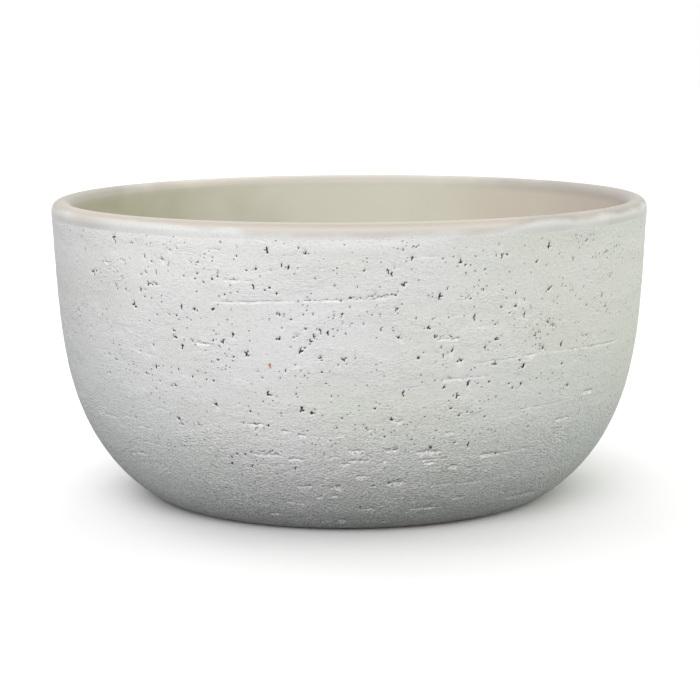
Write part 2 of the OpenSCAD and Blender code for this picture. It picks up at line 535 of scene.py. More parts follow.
# %% Scratches that the photograph shows
# Both ends in pixels, and the height and depth in millimetres
SCRATCHES_PX = [
    ((204, 302.3), (300, 301.4), 1.1, 0.35), ((298, 301.6), (352, 300.6), 1.2, 0.40),
    ((352, 300.8), (397, 296.6), 1.2, 0.35),
    ((471, 364.3), (546, 352.3), 1.0, 0.22), ((546, 352.3), (622, 339), 1.0, 0.22),
    ((434, 381.5), (490, 376), 1.1, 0.30), ((497, 413), (573, 399), 0.9, 0.20),
    ((500, 453.5), (536, 446), 1.2, 0.35), ((426, 486), (455, 483.5), 1.1, 0.30),
    ((456, 484.5), (481, 480.5), 1.2, 0.32), ((136, 425), (158, 431), 1.0, 0.30),
    ((133, 438), (172, 448), 0.9, 0.22), ((98, 411.5), (120, 418), 1.2, 0.32),
    ((464, 328.8), (496, 325), 1.0, 0.30), ((420, 317.4), (473, 315.2), 0.8, 0.18),
    ((418, 256.8), (440, 256.6), 0.9, 0.25), ((332, 511), (360, 511), 0.9, 0.25),
    ((449, 300), (471, 301), 0.9, 0.25), ((143, 352.4), (157, 356.4), 0.9, 0.25),
    ((217, 369), (243, 369), 0.8, 0.16), ((319, 437.5), (346, 437), 0.8, 0.22),
    ((414, 425.6), (428, 425), 0.8, 0.22), ((380, 392.5), (434, 384.5), 0.8, 0.15),
    ((240, 281.2), (254, 281.2), 0.9, 0.25), ((300, 288), (352, 286), 0.7, 0.12),
    ((255, 436), (290, 441), 0.8, 0.20), ((226, 443), (262, 446), 0.8, 0.18)]
SCRATCH_CUT = 1.35
TEAR_LEAST = 1.3
TEAR_SHARE = 0.8
TEAR_DEPTH = (0.55, 0.8)


def tear(start, end, height, depth):
    """A tear from one place to another, this high and this deep in millimetres."""
    middle = (start[0] + turn_between(end[0], start[0]) / 2, (start[1] + end[1]) / 2)
    half = abs(turn_between(end[0], start[0])) * coat_line.at(middle[1])[0] / 2
    rise = (end[1] - start[1]) / 2 * (1 if turn_between(end[0], start[0]) > 0 else -1)
    return {"place": middle, "half": half, "rise": rise, "height": height, "depth": depth,
            "seed": dice.uniform(0, 99)}


def tear_of_pixels(left, right, top, bottom):
    """A tear in the box that its edges make in the photograph."""
    upper = place_of_pixel((left + right) / 2, top)
    lower = place_of_pixel((left + right) / 2, bottom)
    s = (upper[1] + lower[1]) / 2
    ends = (place_of_pixel(x, (top + bottom) / 2)[0] for x in (left, right))
    return tear(*((angle, s) for angle in ends), max(TEAR_LEAST, TEAR_SHARE * (upper[1] - lower[1])),
                dice.uniform(*TEAR_DEPTH))


tears = [tear_of_pixels(*box) for box in TEARS_PX]
scratches = [tear(place_of_pixel(*a), place_of_pixel(*b), height, depth * SCRATCH_CUT)
             for a, b, height, depth in SCRATCHES_PX]

# %% Scattered tears and scratches
# How many, and the least and greatest half length and depth of each in millimetres
SCATTERED = {"tear": (230, (1.5, 5), (0.12, 0.4)), "scratch": (60, (8, 22), (0.08, 0.18))}
SCATTERED_HEIGHT = (0.9, 1.6)
# The share of the way up the flank where most of them are
MOST_AT = 0.28
DRIFT = 0.4
SHALLOW_IN_FRONT = 0.5

for count, half_range, depth_range in SCATTERED.values():
    for _ in range(count):
        angle = dice.uniform(-math.pi, math.pi)
        s = EDGE_MARGIN + dice.triangular(0, 1, MOST_AT) * (coat_line.length - 2 * EDGE_MARGIN)
        half = dice.uniform(*half_range) / coat_line.at(s)[0]
        drift = dice.uniform(-DRIFT, DRIFT)
        depth = dice.uniform(*depth_range)
        seen = abs(turn_between(angle, FRONT)) < SEEN_HALF_ANGLE
        scratches.append(tear((angle - half, s - drift), (angle + half, s + drift),
                              dice.uniform(*SCATTERED_HEIGHT), depth * (SHALLOW_IN_FRONT if seen else 1)))
print(len(tears), "tears,", len(scratches), "scratches and small tears")

# %% [markdown]
# ## The coat, step 2: a skin with fine faces where they are needed
# A pit is only a millimetre or two across. Faces that small all over the bowl would be millions,
# so the skin starts with faces of nearly 3 mm, and `subdivide_edges` cuts only those that lie
# under a mark. Under a pit or a tear a face becomes 5 by 5. Under a scratch or a small tear it is
# cut into 5 flat strips, because those are thin.

# %% The plain skin
COLUMNS = 340
ROW_STEP = 2.45
BACK_STEP = 20.0

rows = even_places(0, coat_line.length, ROW_STEP)
column_turn = math.tau / COLUMNS
coat = new_skin()
for name in ("pit", "ridge", "chip"):
    coat.verts.layers.float.new(name)
coat.verts.layers.float_vector.new("unrolled")
walk = coat.verts.layers.float["walk"]
back_rows = even_places(coat_line.length, 0, -BACK_STEP)
turn_row(coat, point_row(coat, coat_line, rows) + point_row(coat, coat_line, back_rows, -coat_t),
         COLUMNS, closed=True)


def cell_of(angle, s):
    """Column and row of the face that covers a place."""
    return int(angle % math.tau / column_turn) % COLUMNS, bisect_left(rows, s) - 1


def cell_of_face(face):
    middle = face.calc_center_median()
    return cell_of(math.atan2(middle.y, middle.x), sum(v[walk] for v in face.verts) / 4)


front_faces = [f for f in coat.faces if all(v[walk] >= 0 for v in f.verts)]
face_of_cell = {cell_of_face(f): f for f in front_faces}
print(len(front_faces), "faces before the marks,", len(face_of_cell), "cells")

# %% Cutting the faces under the marks
CUTS = 4
CLEARANCE = 0.1
STROKE_STEP = 0.8
TEAR_SIDES = (-0.6, 0, 0.6)


def cells_under_pit(mark):
    angle, s = mark["place"]
    radius = coat_line.at(s)[0]
    pad = mark["width"] + CLEARANCE
    for (u0, v0), (u1, v1) in mark["strokes"]:
        steps = max(1, round(math.hypot(u1 - u0, v1 - v0) / STROKE_STEP))
        for i in range(steps + 1):
            u, v = u0 + (u1 - u0) * i / steps, v0 + (v1 - v0) * i / steps
            for du, dv in ((pad, pad), (pad, -pad), (-pad, pad), (-pad, -pad)):
                yield cell_of(angle + (u + du) / radius, s + v + dv)


def cells_under_tear(mark):
    angle, s = mark["place"]
    radius = coat_line.at(s)[0]
    steps = max(1, round(mark["half"]))
    for i in range(-steps, steps + 1):
        for side in TEAR_SIDES:
            yield cell_of(angle + mark["half"] * i / steps / radius,
                          s + mark["rise"] * i / steps + side * mark["height"])


def is_upright(edge):
    """Whether an edge runs up the flank and not round it."""
    a, b = (math.atan2(v.co.y, v.co.x) for v in edge.verts)
    return abs(turn_between(a, b)) < column_turn / 100


first_row, last_row = 1, len(rows) - 3
under_marks = [c for m in pits + [chip] for c in cells_under_pit(m)]
under_marks += [c for m in tears for c in cells_under_tear(m)]
square_cells = {c for c in under_marks if first_row <= c[1] <= last_row}
strip_cells = {c for m in scratches for c in cells_under_tear(m) if first_row <= c[1] <= last_row}
cut_edges = {e for c in square_cells for e in face_of_cell[c].edges}
cut_edges |= {e for c in strip_cells for e in face_of_cell[c].edges if is_upright(e)}
bmesh.ops.subdivide_edges(coat, edges=list(cut_edges), cuts=CUTS, use_grid_fill=True)
print(len(square_cells), "faces cut in squares,", len(strip_cells), "in strips ->", len(coat.faces))

# %% [markdown]
# ## The coat, step 3: pressing the marks in
# Now every vertex of the skin gets a lift in millimetres: out of the clay when it is above zero
# and into it when it is below. A slow noise gives the unevenness that a turning hand leaves. The
# marks are added to it. We sort the vertices by their distance up the flank first, so that a mark
# only has to look at the few that lie at its height.

# %% The waves of a hand-turned wall
WALL_WAVE = 0.15
RING_WAVE = 0.10
LUMPS_ROUND = 4
LUMP_HEIGHT = 32
RINGS_ROUND = 0.7
RING_HEIGHT = 7
SINK = 0.16

walk = coat.verts.layers.float["walk"]
places = sorted(((math.atan2(v.co.y, v.co.x), v[walk], v) for v in coat.verts if v[walk] >= 0),
                key=lambda p: p[1])
heights = [s for angle, s, v in places]


def turned_lift(angle, s):
    """How far the wall stands out at a place because of the hand that turned it."""
    x, y = math.cos(angle), math.sin(angle)
    lumps = noise.noise(Vector((LUMPS_ROUND * x, LUMPS_ROUND * y, s / LUMP_HEIGHT)))
    ring = noise.noise(Vector((RINGS_ROUND * x, RINGS_ROUND * y, s / RING_HEIGHT + 40)))
    return WALL_WAVE * lumps + RING_WAVE * ring - SINK


lifts = [turned_lift(angle, s) for angle, s, v in places]
pit_share = [0.0] * len(places)
ridge_share = [0.0] * len(places)
chip_share = [0.0] * len(places)
print(f"waves from {min(lifts):.2f} to {max(lifts):.2f} mm")

# %% Pressing in the pits and scratches
PIT_RAGGED = 0.16
PIT_SIDES = 1.9
DARK_SIDES = 2.2
END_TAPER = 2.5
STEEP = 0.3


def near(s, reach):
    """Numbers of the vertices within reach of a height."""
    return range(bisect_left(heights, s - reach), bisect_left(heights, s + reach))


def gap_to_stroke(u, v, ends):
    """Distance from a point to a straight stroke."""
    (u0, v0), (u1, v1) = ends
    du, dv = u1 - u0, v1 - v0
    t = min(max(((u - u0) * du + (v - v0) * dv) / max(du * du + dv * dv, 1e-6), 0), 1)
    return math.hypot(u - u0 - t * du, v - v0 - t * dv)


def press_pit(mark, share):
    """Sink a pit into the skin and note how much of each vertex lies in it."""
    angle, s = mark["place"]
    radius = coat_line.at(s)[0]
    reach = mark["reach"] + CLEARANCE
    for i in near(s, reach):
        u, v = turn_between(places[i][0], angle) * radius, heights[i] - s
        if abs(u) > reach:
            continue
        gap = min(gap_to_stroke(u, v, ends) for ends in mark["strokes"])
        gap += PIT_RAGGED * noise.noise(Vector((u * 1.7 + s, v * 1.7, angle * 9)))
        inside = 1 - gap / mark["width"]
        if inside > 0:
            lifts[i] -= mark["depth"] * min(1, PIT_SIDES * inside)
            # mark["dark"] sets how much painted shade the coat's colour lays into the pit
            share[i] = max(share[i], mark["dark"] * min(1, DARK_SIDES * inside))


def press_tear(mark):
    """Cut a ragged tear: steep at its upper edge and gentle below."""

    def wave(length, row):
        """Noise along the tear, in waves of about this length in millimetres."""
        return noise.noise(Vector((u / length, mark["seed"], row)))

    angle, s = mark["place"]
    radius = coat_line.at(s)[0]
    half, height = mark["half"], mark["height"]
    for i in near(s, abs(mark["rise"]) + 1.3 * height):
        u = turn_between(places[i][0], angle) * radius
        if abs(u) > half:
            continue
        v = heights[i] - s - mark["rise"] * u / half
        fade = min(1, END_TAPER * (1 - abs(u) / half)) ** 0.5
        upper = height * fade * (0.5 + 0.4 * wave(1.6, 0))
        lower = height * fade * (0.5 + 0.6 * wave(2.2, 9))
        down = (upper - v) / max(upper + lower, SAME)
        if 0 < down < 1:
            ragged = min(1, max(0, 0.7 + 1.5 * wave(1.3, 5)))
            lifts[i] -= mark["depth"] * fade * ragged * min(1, down / STEEP) * (1 - down) ** 0.7
            # ridge is above zero on the gentle lower slope, which the coat's colour makes paler as
            # painted highlight, and below zero along the steep upper edge, which it makes darker as
            # painted shadow
            ridge_share[i] += mark["depth"] * ragged * (1 if down > STEEP else -1)


for mark in pits:
    press_pit(mark, pit_share)
press_pit(chip, chip_share)
for mark in tears + scratches:
    press_tear(mark)
print(f"lifts from {min(lifts):.2f} to {max(lifts):.2f} mm")

# %% [markdown]
# Coat and glaze meet flush below the lip, and the coat ends flush with the foot, so every lift fades
# away at both edges. Each vertex is put on the true outline and moved out of it by its lift, and it
# keeps what the materials will ask for: how deep in a pit it is, whether it is on a tear, and a
# place on the *unrolled* wall, where scraping lines are straight.

# %% Shaping the skin
SEAM_FADE = 7.0
FOOT_FADE = 2.5
DEEPEST = coat_t - 0.1
UNROLLED_RADIUS = 130.0


def set_place(v, angle, point):
    """Put a vertex at an angle round the axis and a (radius, height) in millimetres."""
    v.co = (point[0] * MM * math.cos(angle), point[0] * MM * math.sin(angle), point[1] * MM)


pit_layer, ridge_layer, chip_layer = (coat.verts.layers.float[n] for n in ("pit", "ridge", "chip"))
unrolled = coat.verts.layers.float_vector["unrolled"]
for i, (angle, s, v) in enumerate(places):
    lift = max(min(lifts[i], 0), -DEEPEST) * min(1, s / FOOT_FADE, (coat_line.length - s) / SEAM_FADE)
    set_place(v, angle, coat_line.offset(s, lift))
    # pit and ridge tell the coat's material where to lay painted shade into pits and along the upper
    # edges of tears, and painted highlight on their lower slopes
    v[pit_layer] = pit_share[i]
    v[ridge_layer] = ridge_share[i]
    v[chip_layer] = chip_share[i]
    v[unrolled] = (UNROLLED_RADIUS * math.cos(angle), UNROLLED_RADIUS * math.sin(angle), s)

keep_edge_sharp(coat)
coat_piece = finish_mesh(coat, "scraped_coat")

# %% [markdown]
# ## The glaze
# The glaze starts where the coat ends, runs over the lip and down the inner wall, and covers the
# floor as far as the axis. It is poured in, so it is smooth, but its thickness varies a little and
# shows as soft waves in the reflections.

# %% The outline of the glaze
LIP_ROWS = 26
above_coat = [p for p in whole_flank.points if p[1] > coat_top + SAME]
lip_arc = [lip_point(-WALL_LEAN + math.pi * i / LIP_ROWS, lip_r) for i in range(1, LIP_ROWS + 1)]
inner_wall = [inner_flank(1 - i / FINE) for i in range(1, FINE + 1)]
glaze_line = Outline([(coat_edge_r, coat_top)] + above_coat + lip_arc + inner_wall + [(0.0, floor_z)])
lip_length = math.dist((coat_edge_r, coat_top), whole_flank.points[-1]) + math.pi * lip_r
print(f"the glaze runs {glaze_line.length:.0f} mm from the coat to the axis")

# %% Turning the glaze
GLAZE_COLUMNS = 208
LIP_STEP = 0.5
WALL_STEP = 3.5
BACK_LIP_STEP = 1.5
BACK_WALL_STEP = 8.0
GLAZE_WAVE = 0.07
RING_SHARE = 0.4
AXIS_FADE = 0.02
AT_AXIS = 1e-7


def lip_and_wall(lip_step, wall_step):
    """Places along the glaze, close together over the lip and wider apart down the wall."""
    return (even_places(0, lip_length, lip_step)[:-1]
            + even_places(lip_length, glaze_line.length, wall_step))


def weld_axis(bm):
    """Weld the vertices that the wheel left on the axis."""
    axis = [v for v in bm.verts if v.co.xy.length < AT_AXIS]
    bmesh.ops.remove_doubles(bm, verts=axis, dist=AT_AXIS * 10)


def glaze_lift(v, s):
    """The soft waves in the glaze, which fade at the axis and where the coat begins."""
    ring = noise.noise(Vector((v.co.x * 6, v.co.y * 6, s / 6)))
    lump = noise.noise(v.co * 30)
    fade = min(1, v.co.xy.length / AXIS_FADE) * min(1, s / SEAM_FADE)
    return GLAZE_WAVE * (RING_SHARE * ring + (1 - RING_SHARE) * lump - 1) * fade


glaze = new_skin()
front_row = point_row(glaze, glaze_line, reversed(lip_and_wall(LIP_STEP, WALL_STEP)))
back_row = point_row(glaze, glaze_line, lip_and_wall(BACK_LIP_STEP, BACK_WALL_STEP), -glaze_t)
turn_row(glaze, front_row + back_row, GLAZE_COLUMNS)
weld_axis(glaze)
walk = glaze.verts.layers.float["walk"]
for v in glaze.verts:
    if v[walk] >= 0:
        set_place(v, math.atan2(v.co.y, v.co.x), glaze_line.offset(v[walk], glaze_lift(v, v[walk])))
keep_edge_sharp(glaze)
glaze_piece = finish_mesh(glaze, "poured_glaze")

# %% [markdown]
# ## The fired clay
# Behind the coat and the glaze lies the clay itself. It shows under the foot: a ring that the bowl
# stands on, with a shallow hollow inside it that was trimmed on the wheel, so its roof has fine
# rings. One line runs from the middle of the hollow round the whole bowl to the middle of the floor.

# %% The outline of the clay
OUTSIDE_PARTS = 60
INSIDE_PARTS = 200

under_foot = [(0.0, hollow_z), (roof_r, hollow_z), (hollow_r, pad_t), (foot_r, pad_t)]
hidden_outside = [coat_line.offset(coat_line.length * i / OUTSIDE_PARTS, -coat_t)
                  for i in range(OUTSIDE_PARTS + 1)]
hidden_inside = [glaze_line.offset(glaze_line.length * i / INSIDE_PARTS, -glaze_t)
                 for i in range(INSIDE_PARTS)]
clay_line = Outline(under_foot + hidden_outside + hidden_inside + [(0.0, floor_z - glaze_t)])
roof_corner, inner_corner, outer_corner = clay_line.along[1:4]
coat_step = clay_line.along[len(under_foot) + len(hidden_outside) - 1]
glaze_step = clay_line.along[len(under_foot) + len(hidden_outside)]
print(f"the clay's line is {clay_line.length:.0f} mm long")

# %% Turning the clay
CLAY_COLUMNS = 208
TRIM_STEP = 1.25
HIDDEN_STEP = 7.0
FOOT_BEVEL = 1.0
TRIM_DEPTH = 0.35
TRIM_RING = 1.9
TRIM_FADE = 4

clay = new_skin()
stops = (0, roof_corner, inner_corner, outer_corner, coat_step, glaze_step, clay_line.length)
steps = (TRIM_STEP, TRIM_STEP, TRIM_STEP, HIDDEN_STEP, HIDDEN_STEP, HIDDEN_STEP)
clay_rows = [s for start, end, step in zip(stops, stops[1:], steps)
             for s in even_places(start, end, step)[:-1]] + [clay_line.length]
turn_row(clay, point_row(clay, clay_line, clay_rows), CLAY_COLUMNS)
weld_axis(clay)
walk = clay.verts.layers.float["walk"]
for v in clay.verts:
    s = v[walk]
    if s < roof_corner - SAME:
        ring = abs(noise.noise(Vector((v.co.x * 9, v.co.y * 9, s / TRIM_RING))))
        v.co.z += TRIM_DEPTH * MM * ring * min(1, s / TRIM_FADE)
corners = [e for e in clay.edges
           if all(min(abs(v[walk] - c) for c in (inner_corner, outer_corner)) < SAME for v in e.verts)]
round_off(clay, corners, FOOT_BEVEL)
clay_piece = finish_mesh(clay, "turned_clay")

# %% [markdown]
# ## The felt pads
# Four pads of the same kind keep the foot off the furniture. Each one is a disc with a soft edge,
# made at the place where the frame has it.

# %% Felt pads
PAD_SIDES = 48
PAD_EDGE = 0.35


def felt_pad(node):
    """A felt disc in the place of a CAD pad."""
    low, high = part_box(node)
    centre, thick = (low + high) / 2, high.z - low.z
    bm = bmesh.new()
    bmesh.ops.create_cone(bm, cap_ends=True, cap_tris=False, segments=PAD_SIDES,
                          radius1=(high.x - low.x) / 2, radius2=(high.x - low.x) / 2, depth=thick)
    bmesh.ops.translate(bm, verts=bm.verts, vec=centre)
    rims = [e for e in bm.edges if abs(e.verts[0].co.z - e.verts[1].co.z) < thick / 2]
    round_off(bm, rims, PAD_EDGE)
    return finish_mesh(bm, "felt_" + node)


pad_nodes = sorted(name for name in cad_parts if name.startswith("floor_pad"))
pad_pieces = [felt_pad(node) for node in pad_nodes]

# %% [markdown]
# ## Materials
# A material here is a recipe of nodes. The small class below adds one node at a time and wires it
# up, so that a recipe reads from top to bottom: where on the piece, which pattern, which colour.

# %% A recipe of nodes
class Recipe:
    """A material, or a world, and short ways of adding nodes to it."""

    def __init__(self, name, kind=bpy.data.materials, shader="Principled BSDF"):
        self.owner = kind.new(name)
        self.owner.use_nodes = True
        self.tree = self.owner.node_tree
        self.shader = self.tree.nodes[shader]

    def feed(self, node, values):
        """Set inputs of a node, each to a constant or to what another node gives."""
        for name, value in values.items():
            if isinstance(value, bpy.types.NodeSocket):
                self.tree.links.new(value, node.inputs[name])
            else:
                node.inputs[name].default_value = value

    def add(self, kind, values, output=0, **settings):
        """Add a node, set it up and return one of its outputs."""
        node = self.tree.nodes.new("ShaderNode" + kind)
        for name, value in settings.items():
            setattr(node, name, value)
        self.feed(node, values)
        return node.outputs[output]

    def attribute(self, name, output="Fac"):
        return self.add("Attribute", {}, output, attribute_name=name)

    def place(self):
        """Where a point lies on the piece, in metres."""
        return self.add("TexCoord", {}, "Object")

    def axis(self, vector, name):
        return self.add("SeparateXYZ", {"Vector": vector}, name)

    def stretch(self, vector, scales):
        """A place multiplied by three scales, for a pattern that is longer one way."""
        return self.add("VectorMath", {0: vector, 1: scales}, operation="MULTIPLY")

    def noise(self, vector, scales, detail=2.0):
        return self.add("TexNoise", {"Vector": self.stretch(vector, scales), "Scale": 1.0,
                                     "Detail": detail})

    def band(self, value, low, high, at_low=0.0, at_high=1.0):
        """Turn the range from low to high into the range from at_low to at_high."""
        return self.add("MapRange", {"Value": value, "From Min": low, "From Max": high,
                                     "To Min": at_low, "To Max": at_high})

    def reckon(self, operation, values):
        """Join a row of values by one operation, from the first to the last."""
        return reduce(lambda a, b: self.add("Math", {0: a, 1: b}, operation=operation), values)

    def sum(self, *values):
        return self.reckon("ADD", values)

    def times(self, *values):
        return self.reckon("MULTIPLY", values)

    def mix(self, share, a, b):
        """Colour a where share is 0 and colour b where it is 1."""
        return self.add("Mix", {0: share, 6: a, 7: b}, 2, data_type="RGBA")

    def paint(self, colour, layers):
        """Lay one colour after another over the first, each as far as its share says."""
        for share, over in layers:
            colour = self.mix(share, colour, over)
        return colour

    def relief(self, height, depth_mm):
        """A bump from a height between 0 and 1."""
        return self.add("Bump", {"Height": height, "Distance": depth_mm * MM})

    def finish(self, values):
        """Set the shader's inputs and say how large the recipe became."""
        self.feed(self.shader, values)
        print(f"{self.owner.name}: {len(self.tree.nodes)} nodes")


# %% [markdown]
# The coat's patterns live on the unrolled wall. Noise that is stretched along the turn gives short
# torn dashes, flecks and a few long lines, and they come in patches, as they do where a scraper
# chatters. Fine crumbs give it a grain. Where flecks and crumbs stand high the colour is paler, as
# painted highlight, and where they lie low it is darker, as painted shade. Near the foot the slip is
# sandier, and its colour darkens towards the foot as painted shade. At the coat's left edge the
# colour is darker, and low down at both sides it is cooler and darker, as painted shade. Under the
# lip it is fresh and pale. Tiny holes are cells of a Voronoi pattern: only few of them are let
# through, and only where a slow noise makes a cluster, and the colour darkens them as painted shade.
# Pits are deep, and the colour darkens them as painted shade. Torn dashes are paler where fresh slip
# was laid open. A tear is paler on its gentle lower slope, partly fresh slip and partly painted
# highlight, and darker along its steep upper edge, as painted shadow.

# %% The scraped coat
SLIP_PALE = (0.80, 0.80, 0.80, 1)
SLIP_WARM = (0.745, 0.76, 0.70, 1)
SLIP_COOL_SIDE_SHADE = (0.70, 0.735, 0.725, 1)
LEFT_EDGE_PAINTED_SHADE = (0.43, 0.46, 0.49, 1)
SLIP_PAINTED_SHADE = (0.435, 0.46, 0.45, 1)
SLIP_FRESH_AND_HIGHLIGHT = (0.92, 0.92, 0.90, 1)
HOLE_PAINTED_SHADE = (0.14, 0.14, 0.13, 1)
PIT_PAINTED_SHADE = (0.035, 0.033, 0.03, 1)
CHIP_CLAY = (0.62, 0.31, 0.18, 1)
# Most values of a noise lie between these two
NOISE_RANGE = (0.3, 0.7)

slip = Recipe("scraped_slip")
wall = slip.attribute("unrolled", "Vector")
up_wall = slip.axis(wall, "Z")
across_wall = slip.axis(wall, "X")


def wall_noise(length, height):
    """Noise with spots of this length along the turn and this height, in millimetres."""
    return slip.noise(wall, (1 / length, 1 / length, 1 / height))


clouds = wall_noise(70, 50)
patches = wall_noise(24, 15)
clusters = wall_noise(11, 8)
dashes = wall_noise(4, 0.9)
long_lines = wall_noise(40, 0.9)
lumps = wall_noise(3.5, 2.5)
grit = wall_noise(1 / 0.7, 1 / 0.9)
crumbs = wall_noise(1.0, 1 / 1.4)
flecks = wall_noise(2.5, 0.6)

# %% Where the coat is rough
# Millimetres up the wall where it starts to get rough, and where it is as rough as it gets
ROUGH_UP = (90, 25)
CELL_SCALE = 0.6
HOLE_EDGE = (0.26, 0.17)
LET_THROUGH = (0.62, 0.64)

low_down = slip.band(up_wall, *ROUGH_UP)
patchy = slip.band(patches, 0.42, 0.56, 0.3, 1.0)
torn = slip.times(slip.band(dashes, 0.54, 0.68), slip.band(low_down, 0, 1, 0.25, 1.0), patchy)
sandy = slip.sum(slip.band(low_down, 0, 1, 0.18, 1.0),
                 slip.times(slip.band(patches, 0.48, 0.60), 0.25))
ragged = slip.times(slip.band(low_down, 0, 1, 0.35, 1.0), patchy)
cell = slip.add("TexVoronoi", {"Vector": slip.stretch(wall, [CELL_SCALE] * 3), "Scale": 1.0})
lot = slip.add("SeparateColor", {"Color": cell.node.outputs["Color"]})
speck = slip.times(slip.band(cell, *HOLE_EDGE), slip.band(lot, *LET_THROUGH),
                   slip.band(clusters, 0.48, 0.56))

# %% Where the coat has another colour
# Millimetres up the wall, down from the coat's upper edge, or to the right on the unrolled wall:
# where a colour begins and where it would be complete
WARM_ACROSS = (-80, 90)
FRESH_DOWN = (7, 2)
FRESH_ACROSS = (45, 25)
FRESH_LEFT_DOWN = (30, 12)
FRESH_LEFT_ACROSS = (-15, -65)
PAINTED_SHADE_ACROSS = (-90, -150)
FOOT_SHADE_UP = (72, 12)
COOL_UP = (110, 50)
COOL_SIDEWAYS = (40, 100)


def freshness(down, across, most):
    """Fresh slip under the lip, fading down the wall and across it."""
    up = [coat_line.length - distance for distance in down]
    return slip.times(slip.band(up_wall, *up), slip.band(across_wall, *across, 0, most))


cool_or_warm = slip.sum(slip.band(across_wall, *WARM_ACROSS), slip.band(clouds, 0.35, 0.65, -0.4, 0.4))
fresh = slip.reckon("MAXIMUM", (freshness(FRESH_DOWN, FRESH_ACROSS, 0.8),
                                freshness(FRESH_LEFT_DOWN, FRESH_LEFT_ACROSS, 0.5)))
sideways = slip.band(slip.add("Math", {0: across_wall}, operation="ABSOLUTE"), *COOL_SIDEWAYS)
grain = slip.band(low_down, 0, 1, 0.28, 0.90)
ridge = slip.attribute("ridge")
mottled = slip.band(crumbs, 0.40, 0.60, 0.25, 1.0)
pit_edge = slip.sum(slip.attribute("pit"), slip.band(crumbs, *NOISE_RANGE, -0.15, 0.15))

# %% The colour and the relief of the coat
# How far each colour is laid over the ones before it
slip_colour = slip.paint(SLIP_PALE, (
    (cool_or_warm, SLIP_WARM),
    (fresh, SLIP_FRESH_AND_HIGHLIGHT),
    # Painted shade: the coat's left edge is darker in colour
    (slip.band(across_wall, *PAINTED_SHADE_ACROSS, 0, 0.40), LEFT_EDGE_PAINTED_SHADE),
    # Painted shade: the colour darkens towards the foot
    (slip.band(up_wall, *FOOT_SHADE_UP, 0, 0.78), SLIP_PAINTED_SHADE),
    # Painted shade with a cool tint: both sides of the coat low down
    (slip.times(sideways, slip.band(up_wall, *COOL_UP)), SLIP_COOL_SIDE_SHADE),
    (slip.times(torn, 0.7), SLIP_FRESH_AND_HIGHLIGHT),
    # Flecks and crumbs: grain, paler where they stand high as painted highlight, and darker where they
    # lie low as painted shade
    (slip.times(slip.band(flecks, 0.55, 0.66), ragged), SLIP_FRESH_AND_HIGHLIGHT),
    (slip.times(slip.band(flecks, 0.42, 0.32, 0, 0.45), ragged), SLIP_PAINTED_SHADE),
    (slip.times(slip.band(crumbs, 0.50, 0.72), grain), SLIP_FRESH_AND_HIGHLIGHT),
    (slip.times(slip.band(crumbs, 0.48, 0.28), grain), SLIP_PAINTED_SHADE),
    # Tears: paler on the lower slope, partly fresh slip and partly painted highlight, and darker along
    # the steep upper edge as painted shadow
    (slip.times(slip.band(ridge, 0.03, 0.2), mottled), SLIP_FRESH_AND_HIGHLIGHT),
    (slip.times(slip.band(ridge, -0.03, -0.2), mottled), SLIP_PAINTED_SHADE),
    # Painted shade inside the tiny holes
    (slip.times(speck, 0.6), HOLE_PAINTED_SHADE),
    # Painted shade inside the pits
    (slip.band(pit_edge, 0.42, 0.66, 0, 0.96), PIT_PAINTED_SHADE),
    (slip.band(slip.attribute("chip"), 0.1, 0.5), CHIP_CLAY)))

# How high each pattern stands, as a share of the relief's depth in millimetres
RELIEF_DEPTH = 0.8
slip_height = slip.sum(
    slip.times(grit, sandy), slip.times(lumps, 0.11), slip.times(crumbs, slip.times(sandy, 0.60)),
    slip.times(torn, 0.09), slip.times(flecks, slip.times(ragged, 0.30)),
    slip.times(long_lines, 0.06), slip.times(speck, -0.50))
slip.finish({
    "Base Color": slip_colour, "Roughness": 0.9, "Specular IOR Level": 0.1,
    "Normal": slip.relief(slip_height, RELIEF_DEPTH)})

# %% [markdown]
# The glaze is a greyish cream. It ran a little greener on one side and rosier on the other, and at
# both sides it is darker, as painted shade. Over the lip it is palest low down, and darker in a band
# below the crown. At both sides of the lip it is darker again, as painted shade. Along its lower
# edge, slip was smeared up over it while the coat was scraped, higher at both sides than in front, so
# the glaze takes the colour of the slip there, with fine crumbs and a soft and ragged edge. That slip
# is darker at both sides, as painted shade. The "walk" of a vertex tells how far it is from the coat.

# %% The glaze
GLAZE_CREAM = (0.56, 0.55, 0.47, 1)
GLAZE_OLIVE_AND_SHADE = (0.37, 0.355, 0.265, 1)
GLAZE_ROSE_AND_SHADE = (0.53, 0.47, 0.415, 1)
CROWN_CREAM = (0.54, 0.505, 0.45, 1)
NEAR_CREAM = (0.47, 0.42, 0.365, 1)
LIP_CREAM = (0.64, 0.60, 0.55, 1)
LIP_SIDE_PAINTED_SHADE = (0.36, 0.335, 0.305, 1)
SLIP_SMEAR = (0.81, 0.81, 0.805, 1)
SMEAR_SIDE_PAINTED_SHADE = (0.62, 0.615, 0.595, 1)
SMEAR_GREY = (0.40, 0.41, 0.40, 1)

# %% Where the glaze has another colour
# Where a colour begins and where it is complete: metres to the right of the bowl's middle, or
# behind it for FAR_BACK, and millimetres from the coat. The edges wander by WANDER metres
OLIVE_ACROSS = (-0.04, -0.14)
ROSE_ACROSS = (0.02, 0.14)
LEFT_ACROSS = (-0.09, -0.14)
RIGHT_ACROSS = (0.05, 0.12)
FAR_BACK = (-0.07, -0.01)
WANDER = 0.025
CROWN_WALK = (lip_length + 2, lip_length - 3)
SIDE_WALK = (lip_length + 3, lip_length - 3)
NEAR_WALK = (12, 9.5)
LIP_WALK = (7.2, 4.8)

